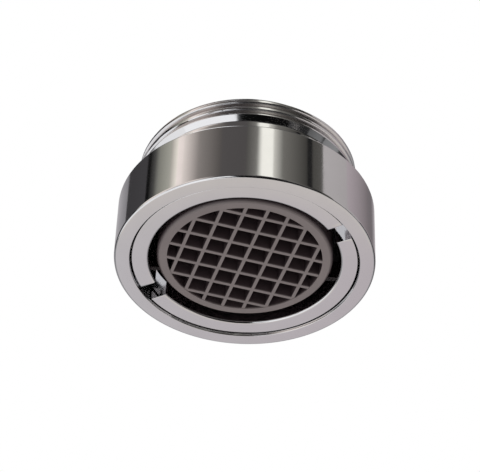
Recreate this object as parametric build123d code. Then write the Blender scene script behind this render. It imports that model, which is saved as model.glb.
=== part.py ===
from build123d import *
import os
from math import hypot

# Key-operated tap aerator. Millimetres, +Z towards the inlet, origin at the centre of the outlet rim.
# The key slots lie along X.

# Inlet thread, M24 x 1, drawn at its major diameter
THREAD_DIAMETER = 24.0
THREAD_LENGTH = 3.22
THREAD_UNDERCUT = 0.57
THREAD_TOP_CHAMFER = 0.4
THREAD_WALL = 1.05

# Threaded housing, a turned tube that hangs the cartridge on a seat inside the thread
RELIEF_LENGTH = 2.68
SEAT_DEPTH = 2.5
SEAT_LEDGE = 0.63
SKIRT_WALL = 1.78
RIM_RECESS = 0.28
RIM_CHAMFER = 0.25
KEY_SLOT_WIDTH = 2.3
KEY_SLOT_DEPTH = 1.8
EDGE_BREAK = 0.15

# Outer sleeve, free to spin round the housing
SLEEVE_HEIGHT = 7.6
SLEEVE_WALL = 1.75
SLEEVE_TOP_CHAMFER = 0.45
SLEEVE_RIM_CHAMFER = 0.3
RUNNING_GAP = 0.15

# Snap ring that keeps the sleeve on the housing
RING_HEIGHT = 0.8
RING_WIDTH = 0.9
RING_BITE = 0.3
RING_DROP = 1.8
RING_MOUTH = 3.0
RING_PLAY = 0.1

# Cartridge shell with its flange and air windows
FLANGE_THICKNESS = 0.8
SEAT_CLEARANCE = 0.1
AIR_GAP = 0.87
WINDOW_COUNT = 6
WINDOW_WIDTH = 5.0
WINDOW_SILL = 0.5
WINDOW_LINTEL = 0.6
SNAP_CLEARANCE = 0.05

# Outlet grille, the lower half of the cartridge, with its lattice
FACE_RECESS = 0.44
GRILLE_RIM_WIDTH = 1.1
GRILLE_RIM_CHAMFER = 0.3
SOCKET_WALL = 0.5
SPIGOT_LENGTH = 0.9
LATTICE_PITCH = 2.3
LATTICE_BAR = 0.36
LATTICE_DEPTH = 2.2
LATTICE_RECESS = 0.05
LATTICE_TURN = 44.0
CENTRING_RIBS = 6
CENTRING_RIB_WIDTH = 0.6
CENTRING_RIB_RECESS = 2.5
CENTRING_CLEARANCE = 0.1

# Mixing screens
SCREEN_THICKNESS = 0.8
SCREEN_RIM_WIDTH = 0.6
SCREEN_PITCH = 2.0
SCREEN_BAR = 0.45
SCREEN_TURNS = {"lower_screen": 0.0, "upper_screen": 45.0}

# Jet plate, a cup in the top of the shell
JET_CUP_DEPTH = 3.0
JET_FLOOR = 0.8
JET_SOCKET_WALL = 0.65
JET_CUP_WALL = 0.7
JET_SLOTS = 24
JET_SLOT_WIDTH = 0.7
JET_SLOT_LENGTH = 1.4
JET_SLOT_INSET = 0.6

# Flow regulator on a ledge in the cup
REGULATOR_LEDGE = 0.45
REGULATOR_STANDOFF = 0.4
REGULATOR_HEIGHT = 1.2
REGULATOR_FLOOR = 0.4
REGULATOR_RING_WIDTH = 1.3
REGULATOR_WINDOWS = 6
REGULATOR_SPOKE = 1.0
CORE_DIAMETER = 7.4
CORE_HEIGHT = 1.2
CORE_SIDES = 8
ELASTIC_WIDTH = 1.2
ELASTIC_HEIGHT = 1.0
ELASTIC_CLEARANCE = 0.1

# Inlet strainer, a slotted cap with sloping sides on the cup's rim
STRAINER_BASE = 0.6
STRAINER_RISE = 1.4
STRAINER_SHOULDER = 1.2
STRAINER_WALL = 0.6
STRAINER_SPIGOT_WALL = 0.6
STRAINER_SLOT_WIDTH = 0.7
STRAINER_HUB = 2.6
STRAINER_BAND = 0.8
INNER_SLOTS = 8
OUTER_SLOTS = 24

# Sealing washer on the flange
WASHER_THICKNESS = 2.2
WASHER_CLEARANCE = 0.25

# Which corner of a lattice cell has to be inside its circle
NEAR_CORNER = -1
FAR_CORNER = 1

# Radii, from the thread inwards and then out to the sleeve
thread_r = THREAD_DIAMETER / 2
relief_r = thread_r - THREAD_UNDERCUT
seat_r = thread_r - THREAD_WALL
bore_r = seat_r - SEAT_LEDGE
skirt_r = bore_r + SKIRT_WALL
sleeve_bore_r = skirt_r + RUNNING_GAP
sleeve_r = sleeve_bore_r + SLEEVE_WALL
ring_outer_r = sleeve_bore_r + RING_BITE
ring_inner_r = ring_outer_r - RING_WIDTH
flange_r = seat_r - SEAT_CLEARANCE
shell_r = bore_r - AIR_GAP
opening_r = shell_r - GRILLE_RIM_WIDTH
socket_r = shell_r - SOCKET_WALL
spigot_r = socket_r - SNAP_CLEARANCE
jet_socket_r = shell_r - JET_SOCKET_WALL
jet_r = jet_socket_r - SNAP_CLEARANCE
cup_r = jet_r - JET_CUP_WALL
ledge_r = cup_r - REGULATOR_LEDGE
regulator_r = cup_r - SNAP_CLEARANCE
regulator_inner_r = regulator_r - REGULATOR_RING_WIDTH
core_r = CORE_DIAMETER / 2
elastic_inner_r = core_r + ELASTIC_CLEARANCE
elastic_outer_r = elastic_inner_r + ELASTIC_WIDTH
strainer_spigot_r = cup_r - SNAP_CLEARANCE
strainer_inner_r = strainer_spigot_r - STRAINER_SPIGOT_WALL
crown_r = jet_r - STRAINER_SHOULDER

# Heights above the outlet rim
thread_z = SLEEVE_HEIGHT + RELIEF_LENGTH
housing_top = thread_z + THREAD_LENGTH
seat_z = housing_top - SEAT_DEPTH
flange_top = seat_z + FLANGE_THICKNESS
ring_z = SLEEVE_HEIGHT - RING_DROP - RING_HEIGHT
face_z = RIM_RECESS + FACE_RECESS
lattice_z = face_z + LATTICE_RECESS
floor_z = lattice_z + LATTICE_DEPTH
spigot_z = floor_z + len(SCREEN_TURNS) * SCREEN_THICKNESS
grille_top = spigot_z + SPIGOT_LENGTH
jet_z = flange_top - JET_CUP_DEPTH
cup_floor_z = jet_z + JET_FLOOR
regulator_z = cup_floor_z + REGULATOR_STANDOFF
regulator_floor_z = regulator_z + REGULATOR_FLOOR
regulator_top = regulator_z + REGULATOR_HEIGHT
strainer_shoulder_z = flange_top + STRAINER_BASE
crown_z = strainer_shoulder_z + STRAINER_RISE


def turned(outline):
    """Solid of revolution about Z from a closed outline of (radius, height) points."""
    return revolve(make_face(Plane.XZ * Polyline(*outline, close=True)), Axis.Z)


def tube(inner_r, outer_r, bottom, top):
    """Plain ring between two radii and two heights."""
    return turned([(inner_r, bottom), (outer_r, bottom), (outer_r, top), (inner_r, top)])


def prism(sketch, bottom, top):
    """Flat sketch raised between two heights."""
    return Pos(0, 0, bottom) * extrude(sketch, top - bottom)


def square_cells(radius, pitch, bar, corner):
    """Square openings between crossing bars, kept where their near or far corner is inside the circle."""
    cell = pitch - bar
    reach = int(radius / pitch) + 1
    steps = [(i + 0.5) * pitch for i in range(-reach, reach)]
    edge = corner * cell / 2
    spots = [(x, y) for x in steps for y in steps if hypot(abs(x) + edge, abs(y) + edge) < radius]
    return Sketch() + [Pos(x, y) * Rectangle(cell, cell) for x, y in spots]


def radial_slots(count, inner_r, outer_r, width):
    """Straight slots pointing at the axis, spread evenly round it."""
    slot = Pos((inner_r + outer_r) / 2, 0) * Rectangle(outer_r - inner_r, width)
    return Sketch() + [spot * slot for spot in PolarLocations(0, count)]


def outer_sleeve():
    """Turned sleeve with a groove inside for the snap ring."""
    groove_r = ring_outer_r + RING_PLAY
    groove_bottom = ring_z - RING_PLAY
    groove_top = ring_z + RING_HEIGHT + RING_PLAY
    return turned([
        (sleeve_bore_r + SLEEVE_RIM_CHAMFER, 0),
        (sleeve_r - SLEEVE_RIM_CHAMFER, 0),
        (sleeve_r, SLEEVE_RIM_CHAMFER),
        (sleeve_r, SLEEVE_HEIGHT - SLEEVE_TOP_CHAMFER),
        (sleeve_r - SLEEVE_TOP_CHAMFER, SLEEVE_HEIGHT),
        (sleeve_bore_r, SLEEVE_HEIGHT),
        (sleeve_bore_r, groove_top),
        (groove_r, groove_top),
        (groove_r, groove_bottom),
        (sleeve_bore_r, groove_bottom),
        (sleeve_bore_r, SLEEVE_RIM_CHAMFER),
    ])


def threaded_housing():
    """Turned tube: slotted rim, ring groove, undercut, thread and cartridge seat."""
    groove_r = ring_inner_r - RING_BITE - RING_PLAY
    groove_bottom = ring_z - RING_PLAY / 2
    groove_top = ring_z + RING_HEIGHT + RING_PLAY / 2
    body = turned([
        (bore_r + RIM_CHAMFER, RIM_RECESS),
        (skirt_r - EDGE_BREAK, RIM_RECESS),
        (skirt_r, RIM_RECESS + EDGE_BREAK),
        (skirt_r, groove_bottom),
        (groove_r, groove_bottom),
        (groove_r, groove_top),
        (skirt_r, groove_top),
        (skirt_r, SLEEVE_HEIGHT),
        (relief_r, SLEEVE_HEIGHT),
        (relief_r, thread_z),
        (thread_r, thread_z + THREAD_UNDERCUT),
        (thread_r, housing_top - THREAD_TOP_CHAMFER),
        (thread_r - THREAD_TOP_CHAMFER, housing_top),
        (seat_r, housing_top),
        (seat_r, seat_z),
        (bore_r, seat_z),
        (bore_r, RIM_RECESS + RIM_CHAMFER),
    ])
    key_slot = Rectangle(2 * sleeve_r, KEY_SLOT_WIDTH)
    return body - prism(key_slot, 0, RIM_RECESS + KEY_SLOT_DEPTH)


def snap_ring():
    """Flat split ring, half in the housing's groove and half in the sleeve's."""
    ring = tube(ring_inner_r, ring_outer_r, ring_z, ring_z + RING_HEIGHT)
    mouth = Pos(0, -ring_outer_r) * Rectangle(RING_MOUTH, 2 * ring_outer_r)
    return ring - prism(mouth, ring_z, ring_z + RING_HEIGHT)


def cartridge_shell():
    """Upper half of the cartridge: flange, cup socket, air windows and spigot."""
    body = turned([
        (opening_r, spigot_z),
        (spigot_r, spigot_z),
        (spigot_r, grille_top),
        (shell_r, grille_top),
        (shell_r, seat_z),
        (flange_r, seat_z),
        (flange_r, flange_top),
        (jet_socket_r, flange_top),
        (jet_socket_r, jet_z),
        (opening_r, jet_z),
    ])
    windows = radial_slots(WINDOW_COUNT, 0, flange_r, WINDOW_WIDTH)
    return body - prism(windows, grille_top + WINDOW_SILL, jet_z - WINDOW_LINTEL)


def outlet_grille():
    """Lower half of the cartridge: rim, deep square lattice, socket and centring ribs."""
    cup = turned([
        (0, lattice_z),
        (opening_r, lattice_z),
        (opening_r, face_z),
        (shell_r - GRILLE_RIM_CHAMFER, face_z),
        (shell_r, face_z + GRILLE_RIM_CHAMFER),
        (shell_r, grille_top),
        (socket_r, grille_top),
        (socket_r, floor_z),
        (0, floor_z),
    ])
    cells = square_cells(opening_r - LATTICE_BAR, LATTICE_PITCH, LATTICE_BAR, NEAR_CORNER)
    cells = Rot(0, 0, LATTICE_TURN) * (cells & Circle(opening_r))
    rib_tip_r = bore_r - CENTRING_CLEARANCE
    ribs = radial_slots(CENTRING_RIBS, shell_r - SOCKET_WALL / 2, rib_tip_r, CENTRING_RIB_WIDTH)
    ribs = prism(ribs & Circle(rib_tip_r), face_z + CENTRING_RIB_RECESS, grille_top)
    return cup - prism(cells, lattice_z, floor_z) + ribs


def mixing_screen(name):
    """Thin lattice disc in the grille's socket, turned against its neighbour."""
    bottom = floor_z + list(SCREEN_TURNS).index(name) * SCREEN_THICKNESS
    cells = square_cells(spigot_r - SCREEN_RIM_WIDTH, SCREEN_PITCH, SCREEN_BAR, FAR_CORNER)
    disc = Circle(spigot_r) - Rot(0, 0, LATTICE_TURN + SCREEN_TURNS[name]) * cells
    return prism(disc, bottom, bottom + SCREEN_THICKNESS)


def jet_plate():
    """Cup with a ring of jet slots in its floor and a ledge for the regulator."""
    cup = turned([
        (0, jet_z),
        (jet_r, jet_z),
        (jet_r, flange_top),
        (cup_r, flange_top),
        (cup_r, regulator_z),
        (ledge_r, regulator_z),
        (ledge_r, cup_floor_z),
        (0, cup_floor_z),
    ])
    slot_end_r = ledge_r - JET_SLOT_INSET
    slots = radial_slots(JET_SLOTS, slot_end_r - JET_SLOT_LENGTH, slot_end_r, JET_SLOT_WIDTH)
    return cup - prism(slots, jet_z, cup_floor_z)


def regulator_body():
    """Flow regulator: rim, floor with curved windows and a many-sided core."""
    rim = tube(regulator_inner_r, regulator_r, regulator_z, regulator_top)
    spokes = radial_slots(REGULATOR_WINDOWS, 0, regulator_r, REGULATOR_SPOKE)
    windows = Circle(regulator_inner_r) - Circle(elastic_outer_r) - spokes
    floor = prism(Circle(regulator_r) - windows, regulator_z, regulator_floor_z)
    core = RegularPolygon(core_r, CORE_SIDES)
    return rim + floor + prism(core, regulator_floor_z, regulator_floor_z + CORE_HEIGHT)


def regulator_ring():
    """Elastic ring lying round the core on the regulator's floor."""
    return tube(elastic_inner_r, elastic_outer_r, regulator_floor_z, regulator_floor_z + ELASTIC_HEIGHT)


def inlet_strainer():
    """Slotted cap with sloping sides, and a spigot that holds the regulator down in the cup."""
    cap = turned([
        (0, crown_z),
        (crown_r, crown_z),
        (jet_r, strainer_shoulder_z),
        (jet_r, flange_top),
        (strainer_spigot_r, flange_top),
        (strainer_spigot_r, regulator_top),
        (strainer_inner_r, regulator_top),
        (strainer_inner_r, crown_z - STRAINER_WALL),
        (0, crown_z - STRAINER_WALL),
    ])
    hub_r = STRAINER_HUB / 2
    rim_r = strainer_inner_r - STRAINER_BAND / 2
    mid_r = (hub_r + rim_r) / 2
    slots = radial_slots(INNER_SLOTS, hub_r, mid_r - STRAINER_BAND / 2, STRAINER_SLOT_WIDTH)
    slots += radial_slots(OUTER_SLOTS, mid_r + STRAINER_BAND / 2, rim_r, STRAINER_SLOT_WIDTH)
    return cap - prism(slots, regulator_top, crown_z)


def sealing_washer():
    """Flat washer on the flange, round the foot of the strainer."""
    return tube(jet_r + WASHER_CLEARANCE, flange_r, flange_top, flange_top + WASHER_THICKNESS)


pieces = {
    "outer_sleeve": outer_sleeve(),
    "threaded_housing": threaded_housing(),
    "snap_ring": snap_ring(),
    "cartridge_shell": cartridge_shell(),
    "outlet_grille": outlet_grille(),
    "jet_plate": jet_plate(),
    "regulator_body": regulator_body(),
    "regulator_ring": regulator_ring(),
    "inlet_strainer": inlet_strainer(),
    "sealing_washer": sealing_washer(),
}
pieces.update({name: mixing_screen(name) for name in SCREEN_TURNS})

os.makedirs("parts", exist_ok=True)
for name, piece in pieces.items():
    export_step(piece, f"parts/{name}.step")
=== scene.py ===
"""Key-operated tap aerator: chromed sleeve and threaded housing round a moulded cartridge.

Lengths are millimetres until a mesh is finished, because the frame is in metres.
"""
import logging
import math
from dataclasses import dataclass, field
from enum import Enum
from typing import Any, Iterable, Optional, Sequence, Union

import bmesh
import bpy
from mathutils import Matrix, Vector


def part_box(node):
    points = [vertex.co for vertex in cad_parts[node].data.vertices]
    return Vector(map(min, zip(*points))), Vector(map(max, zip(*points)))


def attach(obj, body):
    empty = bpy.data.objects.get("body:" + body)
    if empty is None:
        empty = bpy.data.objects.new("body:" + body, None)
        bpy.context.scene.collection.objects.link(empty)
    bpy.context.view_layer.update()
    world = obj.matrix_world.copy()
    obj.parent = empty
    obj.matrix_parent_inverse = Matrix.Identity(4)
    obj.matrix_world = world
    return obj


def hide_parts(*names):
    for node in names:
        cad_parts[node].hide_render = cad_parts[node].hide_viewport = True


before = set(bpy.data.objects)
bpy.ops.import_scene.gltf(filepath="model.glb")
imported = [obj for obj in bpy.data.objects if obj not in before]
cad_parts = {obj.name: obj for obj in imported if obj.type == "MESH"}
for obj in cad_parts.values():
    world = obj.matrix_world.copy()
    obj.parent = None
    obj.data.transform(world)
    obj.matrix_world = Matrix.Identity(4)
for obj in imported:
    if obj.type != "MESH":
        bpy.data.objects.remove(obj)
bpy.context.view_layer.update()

log = logging.getLogger("aerator")

MM = 0.001
ORIGIN = (0, 0, 0)
AXIS = (0, 0, 1)
FULL_TURN = 2 * math.pi
TURN_STEPS = 192
ROUND_SEGMENTS = 4
ROUND_PROFILE = 0.5
KEEP_MATERIAL = -1
MERGE_DISTANCE = 0.0005
SMOOTH_LIMIT = math.radians(32)
THREAD_JOIN = 10.9
WHITE = "#FFFFFF"

# A Mix node's sockets share their names, so they go by number: two colours in, one out, and two values in.
COLOUR_A = 6
COLOUR_B = 7
COLOUR_OUT = 2
VALUE_A = 2
VALUE_B = 3


class Body(Enum):
    """CAD bodies that pieces ride on."""

    HOUSING = "housing"
    SLEEVE = "sleeve"


class Slot(Enum):
    """Material slots of the record, which new pieces name but do not take."""

    CHROME = "chrome"
    GREY_PLASTIC = "grey_plastic"
    WHITE_PLASTIC = "white_plastic"
    BLACK_RUBBER = "black_rubber"


class Heading(Enum):
    """Headings on the stage, in degrees from the camera's right."""

    RIGHT = 0
    AWAY = 90
    NEAR = -90


# Materials


def linear(hex_colour: str) -> tuple[float, float, float, float]:
    """Turn an sRGB hex colour into the linear colour that shaders take, by the curve of the sRGB standard.

    Args:
        hex_colour: Colour written as "#RRGGBB".

    Returns:
        Linear red, green and blue, and an alpha of 1.
    """
    channels = [int(hex_colour[i:i + 2], 16) / 255 for i in (1, 3, 5)]
    bent = [c / 12.92 if c <= 0.04045 else ((c + 0.055) / 1.055) ** 2.4 for c in channels]
    return (*bent, 1.0)


def per_mm(size: float) -> float:
    """Scale of a texture whose pattern repeats at this size in millimetres."""
    return 1 / (size * MM)


def add_node(tree: bpy.types.NodeTree, kind: str, inputs: Optional[dict[Union[str, int], Any]] = None,
             **settings: Any) -> bpy.types.Node:
    """Add a node with its settings, values and links.

    Args:
        tree: Node tree that gets the node.
        kind: Blender's type name of the node.
        inputs: Value or output socket for each input, by name or number.
        settings: Properties of the node itself.

    Returns:
        The new node.
    """
    node = tree.nodes.new(kind)
    for name, value in settings.items():
        setattr(node, name, value)
    for name, value in (inputs or {}).items():
        if isinstance(value, bpy.types.NodeSocket):
            tree.links.new(value, node.inputs[name])
        else:
            node.inputs[name].default_value = value
    return node


def empty_material(name: str) -> tuple[bpy.types.Material, bpy.types.NodeTree]:
    """Make a material with an empty node tree.

    Args:
        name: Name of the material.

    Returns:
        The material and its tree.
    """
    material = bpy.data.materials.new(name)
    material.use_nodes = True
    material.node_tree.nodes.clear()
    return material, material.node_tree


@dataclass(frozen=True)
class ChromePlate:
    """Polished chromium plate on turned brass.

    A mirror with a cool grey tint. The plating is a little wavy, so straight reflections waver, the lathe
    left faint rings under it, and handling leaves a haze of smudges. Between the crests of a thread the
    plating stays thin, dark and matt.
    """

    name: str = "polished chrome plate on turned brass"
    colour: str = "#D0D0D2"
    deep_colour: str = "#C6C6C9"
    roughness: tuple[float, float] = (0.06, 0.12)
    smudge_size: float = 5.0
    smudge_detail: float = 3.0
    smudge_roughness: float = 0.6
    smudge_range: tuple[float, float] = (0.35, 0.7)
    wave_size: float = 6.0
    wave_detail: float = 0.0
    wave_height: float = 0.004
    ring_spacing: float = 0.25
    ring_detail: float = 1.0
    ring_height: float = 0.0002
    thread_start: Optional[float] = None
    thread_radii: tuple[float, float] = (11.75, 11.95)
    root_colour: str = "#BCB9BA"
    root_roughness: float = 0.2

    def roots(self, tree: bpy.types.NodeTree, height: bpy.types.NodeSocket,
              radius: bpy.types.NodeSocket) -> bpy.types.NodeSocket:
        """Measure how thin the plating is between the thread's crests.

        Args:
            tree: Node tree that measures.
            height: Height of the point that is shaded, in metres.
            radius: Its distance from the axis, in metres.

        Returns:
            Share of thin plating: 1 at the roots, and 0 on the crests and below the thread.
        """
        deep, bright = (value * MM for value in self.thread_radii)
        depth = add_node(tree, "ShaderNodeMapRange", {
            "Value": radius, "From Min": bright, "From Max": deep,
        }).outputs["Result"]
        above = add_node(tree, "ShaderNodeMath", {0: height, 1: self.thread_start * MM},
                         operation="GREATER_THAN").outputs[0]
        return add_node(tree, "ShaderNodeMath", {0: depth, 1: above}, operation="MULTIPLY").outputs[0]

    def material(self) -> bpy.types.Material:
        """Build the node material.

        Returns:
            The material, named for the finish.
        """
        material, tree = empty_material(self.name)
        place = add_node(tree, "ShaderNodeTexCoord").outputs["Object"]
        smudges = add_node(tree, "ShaderNodeTexNoise", {
            "Vector": place, "Scale": per_mm(self.smudge_size), "Detail": self.smudge_detail,
            "Roughness": self.smudge_roughness,
        }).outputs["Fac"]
        haze = add_node(tree, "ShaderNodeMapRange", {
            "Value": smudges, "From Min": self.smudge_range[0], "From Max": self.smudge_range[1],
            "To Min": self.roughness[0], "To Max": self.roughness[1],
        }).outputs["Result"]
        tint = add_node(tree, "ShaderNodeMix", {
            "Factor": smudges, COLOUR_A: linear(self.colour), COLOUR_B: linear(self.deep_colour),
        }, data_type="RGBA").outputs[COLOUR_OUT]
        waves = add_node(tree, "ShaderNodeTexNoise", {
            "Vector": place, "Scale": per_mm(self.wave_size), "Detail": self.wave_detail,
        }).outputs["Fac"]
        wavy = add_node(tree, "ShaderNodeBump", {
            "Height": waves, "Strength": 1.0, "Distance": self.wave_height * MM,
        }).outputs["Normal"]
        split = add_node(tree, "ShaderNodeSeparateXYZ", {"Vector": place}).outputs
        flat = add_node(tree, "ShaderNodeCombineXYZ", {"X": split["X"], "Y": split["Y"]}).outputs[0]
        radius = add_node(tree, "ShaderNodeVectorMath", {0: flat}, operation="LENGTH").outputs["Value"]
        if self.thread_start is not None:
            share = self.roots(tree, split["Z"], radius)
            tint = add_node(tree, "ShaderNodeMix", {
                "Factor": share, COLOUR_A: tint, COLOUR_B: linear(self.root_colour),
            }, data_type="RGBA").outputs[COLOUR_OUT]
            haze = add_node(tree, "ShaderNodeMix", {
                "Factor": share, VALUE_A: haze, VALUE_B: self.root_roughness,
            }).outputs[0]
        section = add_node(tree, "ShaderNodeCombineXYZ", {"X": radius, "Z": split["Z"]}).outputs[0]
        rings = add_node(tree, "ShaderNodeTexNoise", {
            "Vector": section, "Scale": per_mm(self.ring_spacing), "Detail": self.ring_detail,
        }).outputs["Fac"]
        turned_normal = add_node(tree, "ShaderNodeBump", {
            "Height": rings, "Strength": 1.0, "Distance": self.ring_height * MM, "Normal": wavy,
        }).outputs["Normal"]
        shader = add_node(tree, "ShaderNodeBsdfPrincipled", {
            "Base Color": tint, "Metallic": 1.0, "Roughness": haze, "Normal": turned_normal,
        })
        add_node(tree, "ShaderNodeOutputMaterial", {"Surface": shader.outputs[0]})
        return material


@dataclass(frozen=True)
class Moulded:
    """Injection-moulded plastic or rubber.

    An even colour with a faint flow mottle, a satin skin from the spark-eroded mould and a fine grain.
    A painted shade may darken the colour between two heights and cover all above them, standing in for the
    shade deep in the piece's recesses.
    """

    name: str
    colour: str
    deep_colour: str
    roughness: tuple[float, float]
    ior: float
    mottle_size: float = 2.5
    mottle_detail: float = 2.0
    grain_size: float = 0.12
    grain_detail: float = 2.0
    grain_range: tuple[float, float] = (0.3, 0.7)
    grain_height: float = 0.002
    painted_shade_colour: Optional[str] = None
    painted_shade_heights: tuple[float, float] = (0.0, 1.0)

    def material(self) -> bpy.types.Material:
        """Build the node material.

        Returns:
            The material, named for the finish.
        """
        material, tree = empty_material(self.name)
        place = add_node(tree, "ShaderNodeTexCoord").outputs["Object"]
        mottle = add_node(tree, "ShaderNodeTexNoise", {
            "Vector": place, "Scale": per_mm(self.mottle_size), "Detail": self.mottle_detail,
        }).outputs["Fac"]
        tint = add_node(tree, "ShaderNodeMix", {
            "Factor": mottle, COLOUR_A: linear(self.colour), COLOUR_B: linear(self.deep_colour),
        }, data_type="RGBA").outputs[COLOUR_OUT]
        # Painted shade: above the first height the colour darkens towards the shade colour, fully so at the
        # second.
        if self.painted_shade_colour:
            height = add_node(tree, "ShaderNodeSeparateXYZ", {"Vector": place}).outputs["Z"]
            unshaded, fully_shaded = (value * MM for value in self.painted_shade_heights)
            shade_amount = add_node(tree, "ShaderNodeMapRange", {
                "Value": height, "From Min": unshaded, "From Max": fully_shaded,
            }, interpolation_type="SMOOTHSTEP").outputs["Result"]
            tint = add_node(tree, "ShaderNodeMix", {
                "Factor": shade_amount, COLOUR_A: tint, COLOUR_B: linear(self.painted_shade_colour),
            }, data_type="RGBA").outputs[COLOUR_OUT]
        grain = add_node(tree, "ShaderNodeTexNoise", {
            "Vector": place, "Scale": per_mm(self.grain_size), "Detail": self.grain_detail,
        }).outputs["Fac"]
        satin = add_node(tree, "ShaderNodeMapRange", {
            "Value": grain, "From Min": self.grain_range[0], "From Max": self.grain_range[1],
            "To Min": self.roughness[0], "To Max": self.roughness[1],
        }).outputs["Result"]
        skin = add_node(tree, "ShaderNodeBump", {
            "Height": grain, "Strength": 1.0, "Distance": self.grain_height * MM,
        }).outputs["Normal"]
        shader = add_node(tree, "ShaderNodeBsdfPrincipled", {
            "Base Color": tint, "Roughness": satin, "IOR": self.ior, "Normal": skin,
        })
        add_node(tree, "ShaderNodeOutputMaterial", {"Surface": shader.outputs[0]})
        return material


@dataclass(frozen=True)
class SpringSteel:
    """Bright-rolled spring steel: a grey satin metal with the fine mottle that the rolls leave."""

    name: str = "rolled spring steel"
    colour: str = "#C3C1BC"
    roughness: tuple[float, float] = (0.25, 0.4)
    mottle_size: float = 0.15
    mottle_detail: float = 2.0

    def material(self) -> bpy.types.Material:
        """Build the node material.

        Returns:
            The material, named for the finish.
        """
        material, tree = empty_material(self.name)
        place = add_node(tree, "ShaderNodeTexCoord").outputs["Object"]
        mottle = add_node(tree, "ShaderNodeTexNoise", {
            "Vector": place, "Scale": per_mm(self.mottle_size), "Detail": self.mottle_detail,
        }).outputs["Fac"]
        satin = add_node(tree, "ShaderNodeMapRange", {
            "Value": mottle, "To Min": self.roughness[0], "To Max": self.roughness[1],
        }).outputs["Result"]
        shader = add_node(tree, "ShaderNodeBsdfPrincipled", {
            "Base Color": linear(self.colour), "Metallic": 1.0, "Roughness": satin,
        })
        add_node(tree, "ShaderNodeOutputMaterial", {"Surface": shader.outputs[0]})
        return material


# A clear mirror, and the same mirror duller between the crests of the thread.
SLEEVE_CHROME = ChromePlate()
HOUSING_CHROME = ChromePlate("polished chrome plate on a turned thread", thread_start=THREAD_JOIN)

# A warm mid-grey satin at the outlet, with painted shade darkening the cells' walls and everything above
# the lattice's face.
GREY_ACETAL = Moulded("moulded grey acetal", "#7B7476", "#716B6D", (0.38, 0.5), 1.48,
                      painted_shade_colour="#40363A", painted_shade_heights=(0.76, 1.0))

# Nearly black: a dark grey deepened by painted shade so that the cells look deep, and the off-white of
# acetal without a dye.
SHADE_DARK_ACETAL = Moulded("moulded acetal darkened to painted shade", "#2B2629", "#242022", (0.4, 0.55), 1.48)
WHITE_ACETAL = Moulded("moulded white acetal", "#DEDCD4", "#D3D1C8", (0.35, 0.5), 1.48)

# A soft black with hardly any shine.
BLACK_EPDM = Moulded("moulded black EPDM rubber", "#1B1B1C", "#151516", (0.62, 0.8), 1.52,
                     grain_height=0.004)

SNAP_RING_STEEL = SpringSteel()


# Mesh helpers


@dataclass(frozen=True)
class Corner:
    """One corner of a turned outline, rounded over a length of both its sides."""

    radius: float
    height: float
    rounding: float = 0.0


def outline_mesh(outline: Sequence[Corner], closed: bool, start: float = 0.0,
                 segments: int = ROUND_SEGMENTS) -> bmesh.types.BMesh:
    """Draw an outline in a plane through the axis and round its corners.

    Args:
        outline: Corners in order.
        closed: Whether the last corner joins the first.
        start: Angle of the plane about the axis, in radians.
        segments: Edges along each rounded corner.

    Returns:
        A mesh of edges only.
    """
    mesh = bmesh.new()
    along_x = math.cos(start)
    along_y = math.sin(start)
    verts = [mesh.verts.new((c.radius * along_x, c.radius * along_y, c.height)) for c in outline]
    ends = verts[1:] + verts[:1] if closed else verts[1:]
    for pair in zip(verts, ends):
        mesh.edges.new(pair)
    for rounding in sorted({c.rounding for c in outline if c.rounding > 0}):
        corners = [v for v, c in zip(verts, outline) if c.rounding == rounding]
        bmesh.ops.bevel(mesh, geom=corners, offset=rounding, offset_type="OFFSET", segments=segments,
                        profile=ROUND_PROFILE, affect="VERTICES", material=KEEP_MATERIAL)
    return mesh


def spin_round(mesh: bmesh.types.BMesh) -> None:
    """Spin everything in the mesh once round the axis and close it.

    Args:
        mesh: Outline, which becomes the turned surface.
    """
    bmesh.ops.spin(mesh, geom=mesh.verts[:] + mesh.edges[:], cent=ORIGIN, axis=AXIS, dvec=(0, 0, 0),
                   angle=FULL_TURN, steps=TURN_STEPS, use_merge=True)
    tidy(mesh)


def tidy(mesh: bmesh.types.BMesh) -> None:
    """Merge doubles and turn the faces outwards."""
    bmesh.ops.remove_doubles(mesh, verts=mesh.verts, dist=MERGE_DISTANCE)
    bmesh.ops.recalc_face_normals(mesh, faces=mesh.faces)


def finish_piece(mesh: bmesh.types.BMesh, name: str, material: bpy.types.Material) -> bpy.types.Object:
    """Turn a mesh in millimetres into a shaded object in metres.

    Args:
        mesh: Finished shape. It is freed.
        name: Name of the object.
        material: Its finish.

    Returns:
        The object, at the origin.
    """
    bmesh.ops.scale(mesh, vec=(MM, MM, MM), verts=mesh.verts)
    for face in mesh.faces:
        face.smooth = True
    data = bpy.data.meshes.new(name)
    mesh.to_mesh(data)
    mesh.free()
    data.set_sharp_from_angle(angle=SMOOTH_LIMIT)
    data.materials.append(material)
    piece = bpy.data.objects.new(name, data)
    bpy.context.scene.collection.objects.link(piece)
    weighted = piece.modifiers.new("weighted normals", "WEIGHTED_NORMAL")
    weighted.keep_sharp = True
    log.info("%s: %d faces", name, len(data.polygons))
    return piece


def seat_piece(piece: bpy.types.Object, node: str, body: Body) -> None:
    """Let a piece stand for a CAD node.

    Args:
        piece: Finished piece.
        node: CAD node whose place it takes.
        body: CAD body that it rides on.
    """
    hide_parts(node)
    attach(piece, body.value)


def reach(node: str) -> tuple[float, float, float]:
    """Outer radius, lowest and highest point of a CAD node, in millimetres."""
    low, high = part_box(node)
    return high.x / MM, low.z / MM, high.z / MM


# The object's pieces


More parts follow.
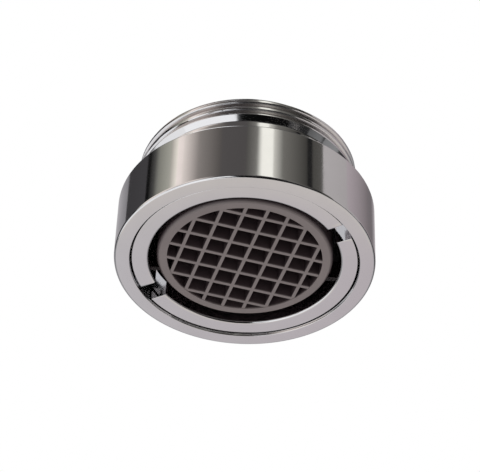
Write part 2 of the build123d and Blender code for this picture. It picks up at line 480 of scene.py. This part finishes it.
@dataclass
class OuterSleeve:
    """Turned sleeve that spins round the housing, with a snap ring groove inside."""

    bore: float = 12.25
    groove_radius: float = 12.65
    groove_bottom: float = 4.9
    groove_top: float = 5.9
    rim_rounding: float = 0.3
    mouth_chamfer: tuple[float, float] = (0.1, 0.3)
    mouth_rounding: float = 0.04
    bore_rounding: float = 0.15
    top_chamfer: float = 0.45
    top_rounding: float = 0.08

    def build(self, material: bpy.types.Material) -> None:
        """Turn the sleeve.

        Args:
            material: Its finish.
        """
        radius, bottom, top = reach("outer_sleeve")
        across, along = self.mouth_chamfer
        mesh = outline_mesh([
            Corner(self.bore, bottom + along, self.mouth_rounding),
            Corner(self.bore + across, bottom, self.mouth_rounding),
            Corner(radius, bottom, self.rim_rounding),
            Corner(radius, top - self.top_chamfer, self.top_rounding),
            Corner(radius - self.top_chamfer, top, self.top_rounding),
            Corner(self.bore, top, self.bore_rounding),
            Corner(self.bore, self.groove_top),
            Corner(self.groove_radius, self.groove_top),
            Corner(self.groove_radius, self.groove_bottom),
            Corner(self.bore, self.groove_bottom),
        ], closed=True)
        spin_round(mesh)
        piece = finish_piece(mesh, "sleeve_shell", material)
        seat_piece(piece, "outer_sleeve", Body.SLEEVE)


@dataclass
class InletThread:
    """M24 x 1 external thread, cut through the lead-in chamfer and run out above the undercut's cone."""

    crest: float = 12.0
    pitch: float = 1.0
    depth: float = 0.5
    crest_flat: float = 0.3
    root_flat: float = 0.18
    crest_rounding: float = 0.03
    root_rounding: float = 0.06
    rounding_segments: int = 2
    section_cuts: int = 3
    lead_in: float = 0.4
    first_root: float = 7.5
    run_out_start: float = 3.5
    run_out_turns: float = 0.3

    def profile(self) -> bmesh.types.BMesh:
        """Draw one pitch of the thread's section, from the middle of the first root.

        Returns:
            A mesh of edges only, with cuts in its long edges for the trimming to bend.
        """
        bottom = self.first_root
        root = self.crest - self.depth
        flank = (self.pitch - self.crest_flat - self.root_flat) / 2
        foot = bottom + self.root_flat / 2
        head = foot + flank
        mesh = outline_mesh([
            Corner(root, bottom),
            Corner(root, foot, self.root_rounding),
            Corner(self.crest, head, self.crest_rounding),
            Corner(self.crest, head + self.crest_flat, self.crest_rounding),
            Corner(root, bottom + self.pitch - self.root_flat / 2, self.root_rounding),
            Corner(root, bottom + self.pitch),
        ], closed=False, segments=self.rounding_segments)
        long_edges = [e for e in mesh.edges if e.calc_length() > flank / 2]
        bmesh.ops.subdivide_edges(mesh, edges=long_edges, cuts=self.section_cuts)
        return mesh

    def trimmed(self, spot: Vector, end: float) -> float:
        """Radius of the finished thread at a point of the endless one.

        Args:
            spot: Point on the endless thread.
            end: Height of the top of the neck.

        Returns:
            The radius where the cutter draws back at the run-out, within the neck and its lead-in chamfer.
        """
        angle = math.atan2(spot.y, spot.x) % FULL_TURN / FULL_TURN
        turn = angle + round((spot.z - self.first_root) / self.pitch - angle)
        cut = min(1.0, max(0.0, (turn - self.run_out_start) / self.run_out_turns))
        retracted = math.hypot(spot.x, spot.y) + (1 - cut) * self.depth
        return min(retracted, self.crest, self.crest - (spot.z - (end - self.lead_in)))

    def build(self, start: float, end: float) -> bmesh.types.BMesh:
        """Sweep the section up a right-handed helix and trim it to the neck.

        Args:
            start: Height of the plain land's end, below the run-out.
            end: Height of the top of the neck.

        Returns:
            The open thread surface between both heights.
        """
        turns = math.ceil((end - self.first_root) / self.pitch) + 1
        mesh = self.profile()
        bmesh.ops.spin(mesh, geom=mesh.verts[:] + mesh.edges[:], cent=ORIGIN, axis=AXIS,
                       dvec=(0, 0, self.pitch / TURN_STEPS), angle=FULL_TURN * turns,
                       steps=TURN_STEPS * turns)
        bmesh.ops.remove_doubles(mesh, verts=mesh.verts, dist=MERGE_DISTANCE)
        for vert in mesh.verts:
            scale = self.trimmed(vert.co, end) / math.hypot(vert.co.x, vert.co.y)
            vert.co.x *= scale
            vert.co.y *= scale
        for height, outwards in ((start, -1), (end, 1)):
            everything = mesh.verts[:] + mesh.edges[:] + mesh.faces[:]
            bmesh.ops.bisect_plane(mesh, geom=everything, dist=MERGE_DISTANCE, plane_co=(0, 0, height),
                                   plane_no=(0, 0, outwards), clear_outer=True)
        return mesh


@dataclass
class ThreadedHousing:
    """Turned tube with a slotted rim, a snap ring groove, an undercut, the inlet thread and a seat."""

    bore: float = 10.32
    skirt_top: float = 7.6
    groove_radius: float = 11.25
    groove_bottom: float = 4.95
    groove_top: float = 5.85
    relief: float = 11.43
    relief_top: float = 10.28
    land_top: float = 10.885
    join_height: float = THREAD_JOIN
    seat_radius: float = 10.95
    seat_height: float = 11.0
    root_land: float = 0.25
    slot_width: float = 2.3
    slot_depth: float = 1.8
    slot_rounding: float = 0.1
    slot_segments: int = 3
    rim_rounding: float = 0.06
    mouth_rounding: float = 0.25
    edge_rounding: float = 0.1
    cone_rounding: float = 0.03
    thread: InletThread = field(default_factory=InletThread)

    def body(self, skirt: float, rim: float, top: float) -> bmesh.types.BMesh:
        """Turn everything but the thread, as a surface open at both ends of the thread.

        Args:
            skirt: Outer radius inside the sleeve.
            rim: Height of the slotted rim.
            top: Height of the inlet end.

        Returns:
            The open surface. Its seams stand clear of the walls of the key slots.
        """
        slot_floor = rim + self.slot_depth
        crest = self.thread.crest
        mesh = outline_mesh([
            Corner(crest, self.land_top),
            Corner(crest, self.relief_top + crest - self.relief, self.cone_rounding),
            Corner(self.relief, self.relief_top, self.edge_rounding),
            Corner(self.relief, self.skirt_top, self.edge_rounding),
            Corner(skirt, self.skirt_top, self.edge_rounding),
            Corner(skirt, self.groove_top),
            Corner(self.groove_radius, self.groove_top),
            Corner(self.groove_radius, self.groove_bottom),
            Corner(skirt, self.groove_bottom),
            Corner(skirt, slot_floor),
            Corner(skirt, rim, self.rim_rounding),
            Corner(self.bore, rim, self.mouth_rounding),
            Corner(self.bore, slot_floor),
            Corner(self.bore, self.seat_height, self.edge_rounding),
            Corner(self.seat_radius, self.seat_height),
            Corner(self.seat_radius, top, self.edge_rounding),
            Corner(self.seat_radius + self.root_land, top),
        ], closed=False, start=FULL_TURN / TURN_STEPS / 2)
        spin_round(mesh)
        return mesh

    def cut_key_slots(self, mesh: bmesh.types.BMesh, skirt: float, rim: float) -> None:
        """Cut two opposite slots across the rim, close their walls and floors and round their edges.

        Args:
            mesh: Turned surface, with a seam at the height of the slots' floor.
            skirt: Outer radius inside the sleeve.
            rim: Height of the slotted rim.
        """
        half = self.slot_width / 2
        floor = rim + self.slot_depth
        for side in (-half, half):
            low = [f for f in mesh.faces if max(v.co.z for v in f.verts) < floor + MERGE_DISTANCE]
            geom = {g for f in low for g in (*f.verts, *f.edges)}
            bmesh.ops.bisect_plane(mesh, geom=[*low, *geom], dist=MERGE_DISTANCE, plane_co=(0, side, 0),
                                   plane_no=(0, 1, 0))
        gone = []
        for face in mesh.faces:
            middle = face.calc_center_median()
            if abs(middle.y) < half and middle.z < floor:
                gone.append(face)
        bmesh.ops.delete(mesh, geom=gone, context="FACES")
        rims = self.close_slot(mesh, -1, skirt, floor) + self.close_slot(mesh, 1, skirt, floor)
        bmesh.ops.recalc_face_normals(mesh, faces=mesh.faces)
        bmesh.ops.bevel(mesh, geom=rims, offset=self.slot_rounding, offset_type="OFFSET",
                        segments=self.slot_segments, profile=ROUND_PROFILE, affect="EDGES",
                        clamp_overlap=True, material=KEEP_MATERIAL)

    def close_slot(self, mesh: bmesh.types.BMesh, sign: int, skirt: float,
                   floor: float) -> list[bmesh.types.BMEdge]:
        """Close the walls and the floor of one slot.

        Args:
            mesh: Turned surface with the slots cut out of it.
            sign: 1 for the slot at positive X, and -1 for the other.
            skirt: Outer radius inside the sleeve.
            floor: Height of the slot's floor.

        Returns:
            The edges where both walls meet the turned surface.
        """
        half = self.slot_width / 2
        open_edges = [e for e in mesh.edges if e.is_boundary and self.at_slot(e, sign, floor)]
        corners = {}
        for wall in (-half, half):
            for radius in (self.bore, skirt):
                spot = Vector((sign * math.sqrt(radius ** 2 - half ** 2), wall, floor))
                corners[wall, radius] = min((v for e in open_edges for v in e.verts),
                                            key=lambda v: (v.co - spot).length)
        sills = []
        rims = []
        for wall in (-half, half):
            sill = mesh.edges.new((corners[wall, self.bore], corners[wall, skirt]))
            sides = [e for e in open_edges if all(abs(v.co.y - wall) < MERGE_DISTANCE for v in e.verts)]
            bmesh.ops.edgeloop_fill(mesh, edges=[*sides, sill])
            sills.append(sill)
            rims += sides
        arcs = [e for e in open_edges if all(abs(v.co.z - floor) < MERGE_DISTANCE for v in e.verts)]
        bmesh.ops.edgeloop_fill(mesh, edges=[*arcs, *sills])
        return rims

    @staticmethod
    def at_slot(edge: bmesh.types.BMEdge, sign: int, floor: float) -> bool:
        """Whether an open edge belongs to the slot on this side of the axis."""
        return all(v.co.x * sign > 0 and v.co.z < floor + MERGE_DISTANCE for v in edge.verts)

    def build(self, material: bpy.types.Material) -> None:
        """Turn the body, cut its slots and join the thread to it.

        Args:
            material: Its finish.
        """
        skirt, rim, top = reach("threaded_housing")
        mesh = self.body(skirt, rim, top)
        self.cut_key_slots(mesh, skirt, rim)
        neck = self.thread.build(self.join_height, top)
        helper = bpy.data.meshes.new("thread")
        neck.to_mesh(helper)
        neck.free()
        mesh.from_mesh(helper)
        bpy.data.meshes.remove(helper)
        middle = (self.join_height + top) / 2
        for low, high in ((self.skirt_top, middle), (middle, top + self.edge_rounding)):
            ends = [e for e in mesh.edges if e.is_boundary and all(low < v.co.z < high for v in e.verts)]
            bmesh.ops.bridge_loops(mesh, edges=ends)
        tidy(mesh)
        piece = finish_piece(mesh, "housing_tube", material)
        seat_piece(piece, "threaded_housing", Body.HOUSING)


@dataclass
class MouldedPiece:
    """A moulded piece in the housing, shaped as its CAD node, with edges rounded as a mould leaves them."""

    node: str
    name: str
    slot: Slot
    rounding: float
    segments: int = 2
    sharp_angle: float = 40.0
    flat_angle: float = 0.5

    def build(self, material: bpy.types.Material) -> None:
        """Merge a copy of the node's triangles, clear its flat faces of seams and round its edges.

        Args:
            material: Its finish.
        """
        mesh = bmesh.new()
        mesh.from_mesh(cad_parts[self.node].data)
        bmesh.ops.scale(mesh, vec=(1 / MM, 1 / MM, 1 / MM), verts=mesh.verts)
        bmesh.ops.remove_doubles(mesh, verts=mesh.verts, dist=MERGE_DISTANCE)
        bmesh.ops.dissolve_limit(mesh, angle_limit=math.radians(self.flat_angle), verts=mesh.verts,
                                 edges=mesh.edges, use_dissolve_boundaries=False)
        limit = math.radians(self.sharp_angle)
        edges = [e for e in mesh.edges if e.is_manifold and abs(e.calc_face_angle_signed()) > limit]
        bmesh.ops.bevel(mesh, geom=edges, offset=self.rounding, offset_type="OFFSET",
                        segments=self.segments, profile=ROUND_PROFILE, affect="EDGES",
                        clamp_overlap=True, material=KEEP_MATERIAL)
        piece = finish_piece(mesh, self.name, material)
        seat_piece(piece, self.node, Body.HOUSING)


def dress_node(node: str, material: bpy.types.Material) -> None:
    """Give a CAD node that keeps its own shape its finish.

    Args:
        node: Name of the CAD node.
        material: Its finish.
    """
    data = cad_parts[node].data
    data.materials.clear()
    data.materials.append(material)
    log.info("%s: dressed", node)


# Studio


@dataclass
class PhotoCamera:
    """Camera of the photograph: below the outlet on the near side, looking up."""

    azimuth: float = 28.3
    elevation: float = 40.85
    roll: float = 2.2
    distance: float = 202.0
    shift_right: float = -0.475
    shift_up: float = 3.122
    lens: float = 141.65
    sensor: float = 36.0
    clip_start: float = 10.0
    level_tilt: float = 90.0

    def orientation(self) -> Matrix:
        """Turn the camera from looking straight down to its view of the object.

        Returns:
            Its turn in the object's frame.
        """
        turn = Matrix.Rotation(math.radians(self.azimuth), 3, "Z")
        tilt = Matrix.Rotation(math.radians(self.level_tilt + self.elevation), 3, "X")
        return turn @ tilt @ Matrix.Rotation(math.radians(self.roll), 3, "Z")

    def build(self) -> None:
        """Place the camera and make it the scene's."""
        data = bpy.data.cameras.new("photo_camera")
        data.lens = self.lens
        data.sensor_width = self.sensor
        data.clip_start = self.clip_start * MM
        camera = bpy.data.objects.new("photo_camera", data)
        bpy.context.scene.collection.objects.link(camera)
        turn = self.orientation()
        place = turn @ Vector((self.shift_right, self.shift_up, self.distance)) * MM
        camera.matrix_world = Matrix.LocRotScale(place, turn.to_quaternion(), None)
        bpy.context.scene.camera = camera


# Heights of the edges of cards, from the lid of the ring down to just above the floor.
RING_TOP = 900.0
SOFTBOX_FOOT = 280.0
STRIP_FOOT = 130.0
FAR_RIGHT_FOOT = 60.0
RING_BOTTOM = -60.0
RIGHT_WALL_FOOT = -110.0
RIGHT_FLAG_FOOT = -170.0
LOW_BOTTOM = -245.0


@dataclass(frozen=True)
class Card:
    """A card of the ring round the object, from one angle to another, evenly lit or fading to its end.

    Angles are degrees from the camera's side of the object, positive to its right, and heights are above
    the outlet rim.
    """

    name: str
    start: float
    end: float
    level: float
    end_level: Optional[float] = None
    tint: str = WHITE
    bottom: float = RING_BOTTOM
    top: float = RING_TOP


RING_CARDS = (
    Card("far_left_wall", -180, -131.5, 0.57, 0.33, tint="#FFFBFF"),
    Card("left_flag", -131.5, -100, 0.06, 0.078, tint="#FFFAFF"),
    Card("left_gap", -100, -96, 0.008),
    Card("left_corner", -96, -90, 0.02, 0.1, tint="#FFFDF8", bottom=SOFTBOX_FOOT),
    Card("left_shade", -90, -85, 0.1, 0.32, tint="#FFFDF0", bottom=SOFTBOX_FOOT),
    Card("left_wall", -85, -72, 0.32, 0.56, tint="#FFFDEC", bottom=SOFTBOX_FOOT),
    Card("left_feather", -72, -65, 0.56, 1.25, tint="#FFF8EA", bottom=SOFTBOX_FOOT),
    Card("left_softbox", -65, -59, 1.32, 1.2, tint="#FFF2EA", bottom=SOFTBOX_FOOT),
    Card("left_falloff", -59, -44, 1.1, 0.36, tint="#FFF3EA", bottom=SOFTBOX_FOOT),
    Card("left_afterglow", -44, -24, 0.35, 0.135, tint="#FFF4EB", bottom=SOFTBOX_FOOT),
    Card("left_foot_edge", -96, -86, 0.02, 1.15, tint="#FFFBF2", top=SOFTBOX_FOOT),
    Card("left_softbox_foot", -86, -41, 1.15, 1.1, tint="#FFF3EA", top=SOFTBOX_FOOT),
    Card("left_foot_falloff", -41, -24, 1.1, 0.135, tint="#FFF4EB", top=SOFTBOX_FOOT),
    Card("front_flag", -24, -2, 0.125, 0.115, tint="#FFF6F3"),
    Card("front_feather", -2, 7.5, 0.115, 0.27, tint="#FFFAF0"),
    Card("front_strip_edge", 7.5, 11.5, 0.3, 1.4, tint="#FFFDF2", bottom=STRIP_FOOT),
    Card("front_strip", 11.5, 21.5, 1.42, tint="#FFFDF2", bottom=STRIP_FOOT),
    Card("front_falloff", 21.5, 30, 0.9, 0.25, tint="#FFFCF0", bottom=STRIP_FOOT),
    Card("front_strip_foot", 7.5, 30, 0.1, tint="#FFFAF0", top=STRIP_FOOT),
    Card("right_shade", 30, 53, 0.24, 0.07, tint="#FFFAEE"),
    Card("right_gap", 53, 58, 0.02),
    Card("right_flag", 58, 69, 0.1, 0.125, tint="#FFFAEE"),
    Card("right_wall", 69, 98, 0.66, 0.57, tint="#FFF8F6"),
    Card("far_right_wall", 98, 136, 0.58, 0.24, tint="#FFF0F4", bottom=FAR_RIGHT_FOOT),
    Card("far_right_flag", 136, 147, 0.24, 0.2, tint="#FFF2F6"),
    Card("far_right_feather", 147, 166, 0.2, 0.55, tint="#FFF5F9"),
    Card("far_right_softbox", 166, 180, 0.56, 0.5, tint="#FFF7FB"),
    Card("low_far_left_wall", -180, -140, 0.5, 0.36, bottom=LOW_BOTTOM, top=RING_BOTTOM),
    Card("low_left_wall", -140, -80, 0.36, bottom=LOW_BOTTOM, top=RING_BOTTOM),
    Card("low_left_fill", -80, -40, 0.36, 0.58, bottom=LOW_BOTTOM, top=RING_BOTTOM),
    Card("low_front_feather", -40, -8, 0.58, 0.03, bottom=LOW_BOTTOM, top=RING_BOTTOM),
    Card("low_front_flag", -8, 60, 0.03, bottom=LOW_BOTTOM, top=RING_BOTTOM),
    Card("low_right_flag", 60, 77, 0.03, bottom=RIGHT_FLAG_FOOT, top=RING_BOTTOM),
    Card("low_right_foot", 60, 77, 0.15, 0.3, bottom=LOW_BOTTOM, top=RIGHT_FLAG_FOOT),
    Card("low_right_wall", 77, 98, 0.03, 0.05, bottom=RIGHT_WALL_FOOT, top=RING_BOTTOM),
    Card("low_right_edge", 98, 136, 0.05, bottom=RIGHT_WALL_FOOT, top=FAR_RIGHT_FOOT),
    Card("low_right_feather", 136, 165, 0.05, 0.45, bottom=RIGHT_WALL_FOOT, top=RING_BOTTOM),
    Card("low_far_right_wall", 165, 180, 0.45, 0.5, bottom=RIGHT_WALL_FOOT, top=RING_BOTTOM),
    Card("low_right_fill", 77, 110, 0.3, 0.5, bottom=LOW_BOTTOM, top=RIGHT_WALL_FOOT),
    Card("low_far_right_fill", 110, 180, 0.5, bottom=LOW_BOTTOM, top=RIGHT_WALL_FOOT),
)


@dataclass(frozen=True)
class Panel:
    """A panel just above the floor, bent up at its far end, for down-facing bevels to mirror.

    Angles are degrees from the camera's side of the object, positive to its right. A panel runs from its
    near to its far distance from the axis, and heights are above the outlet rim.
    """

    name: str
    start: float
    end: float
    level: float
    near: float = 15.0
    far: float = 395.0
    low: float = LOW_BOTTOM
    high: float = LOW_BOTTOM + 1.0


NEAR_PANELS = (
    Panel("left_floor_fill", -66, -13, 1.35, near=150.0, high=-180.0),
    Panel("left_back_fill", -125, -66, 1.2, near=150.0, high=-90.0),
    Panel("left_near_fill", -125, -45, 1.35, far=150.0),
    Panel("front_near_flag", -45, -13, 0.05, far=150.0),
    Panel("right_floor_flag", -13, 40, 0.004),
    Panel("right_floor_shade", 40, 60, 0.06),
)


@dataclass
class Studio:
    """Pale floor with painted light, white surround, soft lamp and a ring of cards for the chrome to
    mirror.
    """

    camera_azimuth: float
    floor_height: float = -250.0
    floor_size: float = 6000.0
    # Painted light on the floor: lighter and warmer near, and far behind the object lighter at the camera's
    # left and darker and pinker at its right.
    floor_left: str = "#E2DEDF"
    floor_right: str = "#DDD3D6"
    floor_near: str = "#ECE5DF"
    floor_reach: float = 60.0
    floor_depths: tuple[float, float] = (250.0, 295.0)
    ring_radius: float = 400.0
    least_card_steps: int = 2
    seam_margin: float = 0.001
    ceiling_levels: tuple[float, float] = (1.7, 0.13)
    ceiling_reach: tuple[float, float] = (-150.0, -35.0)
    surround_levels: tuple[float, float] = (0.85, 1.0)
    lamp_power: float = 4.0
    lamp_size: float = 600.0
    lamp_place: tuple[float, float, float] = (-500.0, -500.0, 900.0)

    def stage_piece(self, mesh: bmesh.types.BMesh, name: str,
                    material: bpy.types.Material) -> bpy.types.Object:
        """Turn a mesh in millimetres into a piece of the stage.

        Args:
            mesh: Finished shape. It is freed.
            name: Name of the object.
            material: Its finish.

        Returns:
            The object, at the origin.
        """
        bmesh.ops.scale(mesh, vec=(MM, MM, MM), verts=mesh.verts)
        data = bpy.data.meshes.new(name)
        mesh.to_mesh(data)
        mesh.free()
        data.materials.append(material)
        piece = bpy.data.objects.new(name, data)
        bpy.context.scene.collection.objects.link(piece)
        return piece

    def mirror_only(self, piece: bpy.types.Object) -> None:
        """Let a piece of the stage show in mirrors alone.

        Args:
            piece: Card, panel or ceiling.
        """
        piece.visible_camera = False
        piece.visible_diffuse = False
        piece.visible_transmission = False
        piece.visible_shadow = False

    def bearing(self, angle: float) -> float:
        """Angle about the axis, in radians, of an angle in degrees from the camera's side of the object."""
        return math.radians(self.camera_azimuth + Heading.NEAR.value + angle)

    def towards(self, tree: bpy.types.NodeTree, heading: Heading) -> bpy.types.NodeSocket:
        """Measure how far a point of the stage lies from the axis along a heading.

        Args:
            tree: Node tree that measures.
            heading: Heading to measure along.

        Returns:
            The distance in metres.
        """
        place = add_node(tree, "ShaderNodeTexCoord").outputs["Object"]
        angle = math.radians(self.camera_azimuth + heading.value)
        return add_node(tree, "ShaderNodeVectorMath", {
            0: place, 1: (math.cos(angle), math.sin(angle), 0),
        }, operation="DOT_PRODUCT").outputs["Value"]

    def floor(self) -> None:
        """Lay the pale floor below the camera, with painted light in its colour."""
        material, tree = empty_material("pale studio floor")
        # Painted light: far behind the object the colour runs from a lighter left to a darker, pinker
        # right, and nearer it is lighter and warmer.
        reach_right = add_node(tree, "ShaderNodeMapRange", {
            "Value": self.towards(tree, Heading.RIGHT), "From Min": -self.floor_reach * MM,
            "From Max": self.floor_reach * MM,
        }).outputs["Result"]
        far_colour = add_node(tree, "ShaderNodeMix", {
            "Factor": reach_right, COLOUR_A: linear(self.floor_left), COLOUR_B: linear(self.floor_right),
        }, data_type="RGBA").outputs[COLOUR_OUT]
        reach_back = add_node(tree, "ShaderNodeMapRange", {
            "Value": self.towards(tree, Heading.AWAY), "From Min": self.floor_depths[0] * MM,
            "From Max": self.floor_depths[1] * MM,
        }).outputs["Result"]
        colour = add_node(tree, "ShaderNodeMix", {
            "Factor": reach_back, COLOUR_A: linear(self.floor_near), COLOUR_B: far_colour,
        }, data_type="RGBA").outputs[COLOUR_OUT]
        shader = add_node(tree, "ShaderNodeBsdfDiffuse", {"Color": colour})
        add_node(tree, "ShaderNodeOutputMaterial", {"Surface": shader.outputs[0]})
        mesh = bmesh.new()
        bmesh.ops.create_grid(mesh, x_segments=1, y_segments=1, size=self.floor_size / 2)
        bmesh.ops.translate(mesh, vec=(0, 0, self.floor_height), verts=mesh.verts)
        self.stage_piece(mesh, "floor", material)

    def card_material(self, card: Card) -> bpy.types.Material:
        """Make the glow of a card, even or changing towards its end.

        Args:
            card: Card that glows.

        Returns:
            The material, which reads the card's own UV map.
        """
        material, tree = empty_material(f"card {card.name}")
        end_level = card.level if card.end_level is None else card.end_level
        across = add_node(tree, "ShaderNodeUVMap").outputs["UV"]
        along = add_node(tree, "ShaderNodeSeparateXYZ", {"Vector": across}).outputs["X"]
        level = add_node(tree, "ShaderNodeMapRange", {
            "Value": along, "To Min": card.level, "To Max": end_level,
        }).outputs["Result"]
        shader = add_node(tree, "ShaderNodeEmission", {"Color": linear(card.tint), "Strength": level})
        add_node(tree, "ShaderNodeOutputMaterial", {"Surface": shader.outputs[0]})
        return material

    def card(self, card: Card) -> None:
        """Stand one card of the ring.

        Args:
            card: Its place and its glow.
        """
        first = self.bearing(card.start)
        span = math.radians(card.end - card.start)
        steps = max(self.least_card_steps, round(card.end - card.start))
        mesh = bmesh.new()
        spot = Vector((math.cos(first), math.sin(first), 0)) * self.ring_radius
        ends = [mesh.verts.new(spot + Vector((0, 0, height))) for height in (card.bottom, card.top)]
        post = mesh.edges.new(ends)
        bmesh.ops.spin(mesh, geom=[*ends, post], cent=ORIGIN, axis=AXIS, dvec=(0, 0, 0), angle=span,
                       steps=steps)
        layer = mesh.loops.layers.uv.new("across")
        for loop in (corner for face in mesh.faces for corner in face.loops):
            angle = math.atan2(loop.vert.co.y, loop.vert.co.x)
            turned_by = (angle - first + self.seam_margin) % FULL_TURN
            loop[layer].uv = (turned_by / span, 0)
        self.mirror_only(self.stage_piece(mesh, card.name, self.card_material(card)))

    def panel(self, panel: Panel) -> None:
        """Stand one panel on the floor.

        Args:
            panel: Its place and its glow.
        """
        first = self.bearing(panel.start)
        last = self.bearing(panel.end)
        material, tree = empty_material(f"panel {panel.name}")
        shader = add_node(tree, "ShaderNodeEmission", {"Color": linear(WHITE), "Strength": panel.level})
        add_node(tree, "ShaderNodeOutputMaterial", {"Surface": shader.outputs[0]})
        mesh = outline_mesh([Corner(panel.near, panel.low), Corner(panel.far, panel.low),
                             Corner(panel.far, panel.high)], closed=False, start=first)
        bmesh.ops.spin(mesh, geom=mesh.verts[:] + mesh.edges[:], cent=ORIGIN, axis=AXIS, dvec=(0, 0, 0),
                       angle=last - first, steps=round(panel.end - panel.start))
        self.mirror_only(self.stage_piece(mesh, panel.name, material))

    def ceiling(self) -> None:
        """Close the ring of cards with a lid that is bright at the camera's left and dark at its right."""
        material, tree = empty_material("ceiling")
        level = add_node(tree, "ShaderNodeMapRange", {
            "Value": self.towards(tree, Heading.RIGHT),
            "From Min": self.ceiling_reach[0] * MM, "From Max": self.ceiling_reach[1] * MM,
            "To Min": self.ceiling_levels[0], "To Max": self.ceiling_levels[1],
        }, interpolation_type="SMOOTHSTEP").outputs["Result"]
        shader = add_node(tree, "ShaderNodeEmission", {"Color": linear(WHITE), "Strength": level})
        add_node(tree, "ShaderNodeOutputMaterial", {"Surface": shader.outputs[0]})
        mesh = bmesh.new()
        bmesh.ops.create_circle(mesh, cap_ends=True, segments=TURN_STEPS, radius=self.ring_radius)
        bmesh.ops.translate(mesh, vec=(0, 0, RING_TOP), verts=mesh.verts)
        self.mirror_only(self.stage_piece(mesh, "ceiling", material))

    def world(self) -> None:
        """White surround for the camera and for mirrors, and plain soft light for everything else."""
        world = bpy.data.worlds.new("surround")
        world.use_nodes = True
        tree = world.node_tree
        tree.nodes.clear()
        path = add_node(tree, "ShaderNodeLightPath").outputs
        seen = add_node(tree, "ShaderNodeMath", {0: path["Is Camera Ray"], 1: path["Is Glossy Ray"]},
                        operation="MAXIMUM").outputs[0]
        shown = add_node(tree, "ShaderNodeMath", {0: seen, 1: path["Is Transmission Ray"]},
                         operation="MAXIMUM").outputs[0]
        level = add_node(tree, "ShaderNodeMapRange", {
            "Value": shown, "To Min": self.surround_levels[0], "To Max": self.surround_levels[1],
        }).outputs["Result"]
        surround = add_node(tree, "ShaderNodeBackground", {"Color": linear(WHITE), "Strength": level})
        add_node(tree, "ShaderNodeOutputWorld", {"Surface": surround.outputs[0]})
        bpy.context.scene.world = world

    def lamp(self) -> None:
        """Hang one large soft lamp above, hidden from the mirrors."""
        data = bpy.data.lights.new("soft_lamp", "AREA")
        data.energy = self.lamp_power
        data.size = self.lamp_size * MM
        lamp = bpy.data.objects.new("soft_lamp", data)
        bpy.context.scene.collection.objects.link(lamp)
        place = Vector(self.lamp_place) * MM
        lamp.matrix_world = Matrix.LocRotScale(place, place.to_track_quat("Z", "Y"), None)
        lamp.visible_glossy = False

    def build(self, cards: Iterable[Card], panels: Iterable[Panel]) -> None:
        """Set up the whole studio.

        Args:
            cards: Cards of the ring.
            panels: Panels on the floor.
        """
        self.floor()
        self.world()
        self.lamp()
        for card in cards:
            self.card(card)
        for panel in panels:
            self.panel(panel)
        self.ceiling()
        bpy.context.scene.view_settings.view_transform = "Standard"
        log.info("studio ready")


def main() -> None:
    """Build and dress every piece, then the studio."""
    logging.basicConfig(level=logging.INFO)
    grey = GREY_ACETAL.material()
    dark = SHADE_DARK_ACETAL.material()
    white = WHITE_ACETAL.material()
    rubber = BLACK_EPDM.material()
    OuterSleeve().build(SLEEVE_CHROME.material())
    ThreadedHousing().build(HOUSING_CHROME.material())
    MouldedPiece("outlet_grille", "grille_moulding", Slot.GREY_PLASTIC, rounding=0.06).build(grey)
    MouldedPiece("inlet_strainer", "strainer_cap", Slot.WHITE_PLASTIC, rounding=0.08).build(white)
    MouldedPiece("sealing_washer", "washer_ring", Slot.BLACK_RUBBER, rounding=0.15).build(rubber)
    dress_node("snap_ring", SNAP_RING_STEEL.material())
    dress_node("regulator_ring", rubber)
    # The shell and screens behind the lattice are nearly black: painted shade for the depth of the cells.
    for node in ("cartridge_shell", "lower_screen", "upper_screen"):
        dress_node(node, dark)
    for node in ("jet_plate", "regulator_body"):
        dress_node(node, white)
    camera = PhotoCamera()
    camera.build()
    Studio(camera.azimuth).build(RING_CARDS, NEAR_PANELS)


if __name__ == "__main__":
    main()
